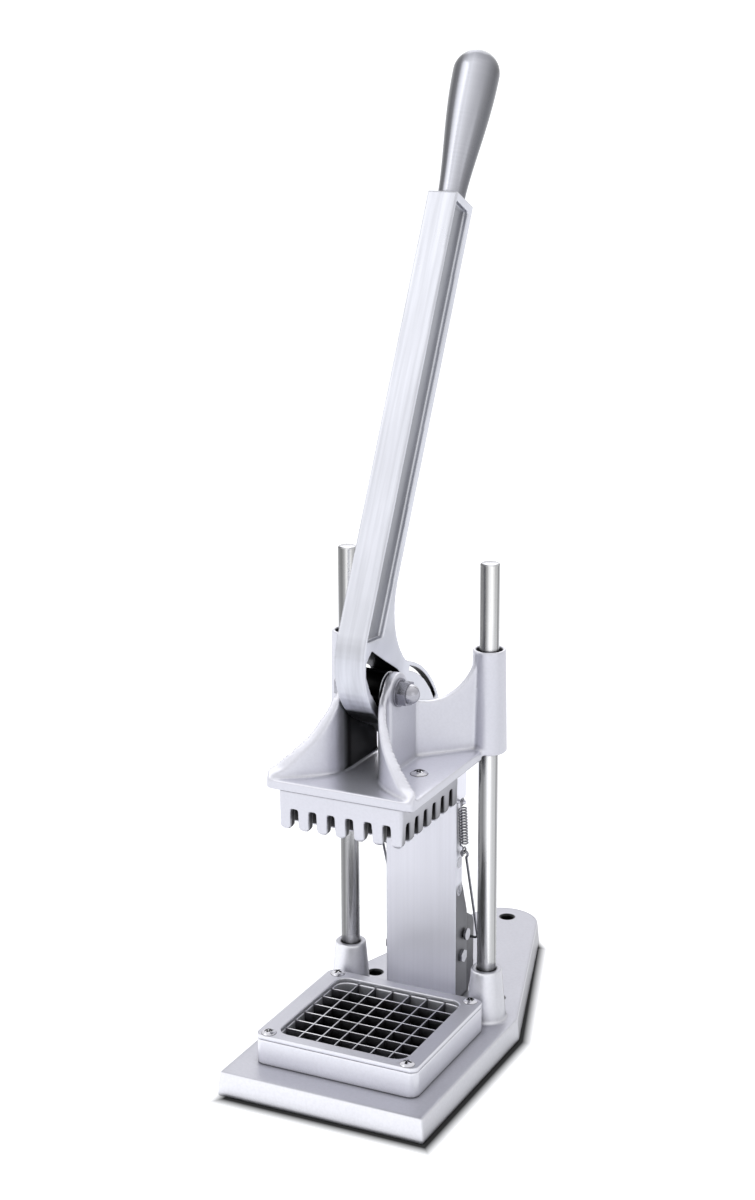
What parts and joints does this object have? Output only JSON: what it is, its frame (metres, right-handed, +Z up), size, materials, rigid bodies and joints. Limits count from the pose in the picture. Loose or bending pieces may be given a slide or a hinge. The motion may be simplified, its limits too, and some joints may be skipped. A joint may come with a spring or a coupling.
{
  "type": "french fry cutter",
  "caption": "Upright bench french fry cutter: a pusher head slides down two rods through a square blade grid, driven by a long lever pivoted on the head.",
  "frame": {"origin": "middle of the part's footprint, on the underside of the base", "axes": "+X to the right as seen from the front, +Y to the rear, +Z up along the guide rods"},
  "size_m": [0.1448, 0.3186, 0.6389],
  "materials": {
    "cast_aluminium": "fine matt as-cast skin",
    "satin_aluminium": "satin, linished",
    "turned_aluminium": "turned and polished",
    "ground_steel": "ground and polished",
    "bright_steel": "bright zinc",
    "brushed_steel": "brushed upright",
    "dark_steel": "darkened",
    "bush_bronze": "turned"
  },
  "bodies": {
    "frame": {"base_casting": "cast_aluminium", "guide_rod_left": "ground_steel", "guide_rod_right": "ground_steel", "rod_retaining_bolts": "dark_steel", "blade_block": "cast_aluminium", "cover_plate": "cast_aluminium", "cover_screws": "bright_steel", "blades_crosswise": "bright_steel", "blades_lengthwise": "bright_steel", "guard_channel": "brushed_steel", "guard_bracket": "dark_steel", "guard_bracket_bolts": "bright_steel", "guard_side_bolts": "bright_steel", "guard_cross_pin": "bright_steel", "track_plate": "dark_steel", "track_bolts": "bright_steel", "track_spacers": "bright_steel", "return_spring_left": "bright_steel", "return_spring_right": "bright_steel", "spring_link_left": "dark_steel", "spring_link_right": "dark_steel"},
    "carriage": {"head_casting": "satin_aluminium", "sleeve_bush_left": "bush_bronze", "sleeve_bush_right": "bush_bronze", "pusher_block": "satin_aluminium", "pusher_screws": "bright_steel", "pivot_bolt": "bright_steel", "acorn_nut": "bright_steel", "pivot_washers": "bright_steel"},
    "lever": {"hub_bush": "bush_bronze", "lever_casting": "satin_aluminium", "grip": "turned_aluminium", "grip_stud": "ground_steel", "track_pin": "ground_steel", "track_pin_clips": "dark_steel"}
  },
  "joints": [
    {"name": "carriage_travel", "type": "slide", "parent": "frame", "child": "carriage", "axis": [0, 0, -1], "range_m": [0, 0.15], "stiffness_N_per_m": 300, "springref_m": -0.07},
    {"name": "lever_swing", "type": "hinge", "parent": "carriage", "child": "lever", "pos_m": [0, -0.0773, 0.258], "axis": [1, 0, 0], "range_deg": [0, 95.1]}
  ],
  "couplings": [
    {"joint": "lever_swing", "follows": "carriage_travel", "rad_per_m": 11.054}
  ]
}
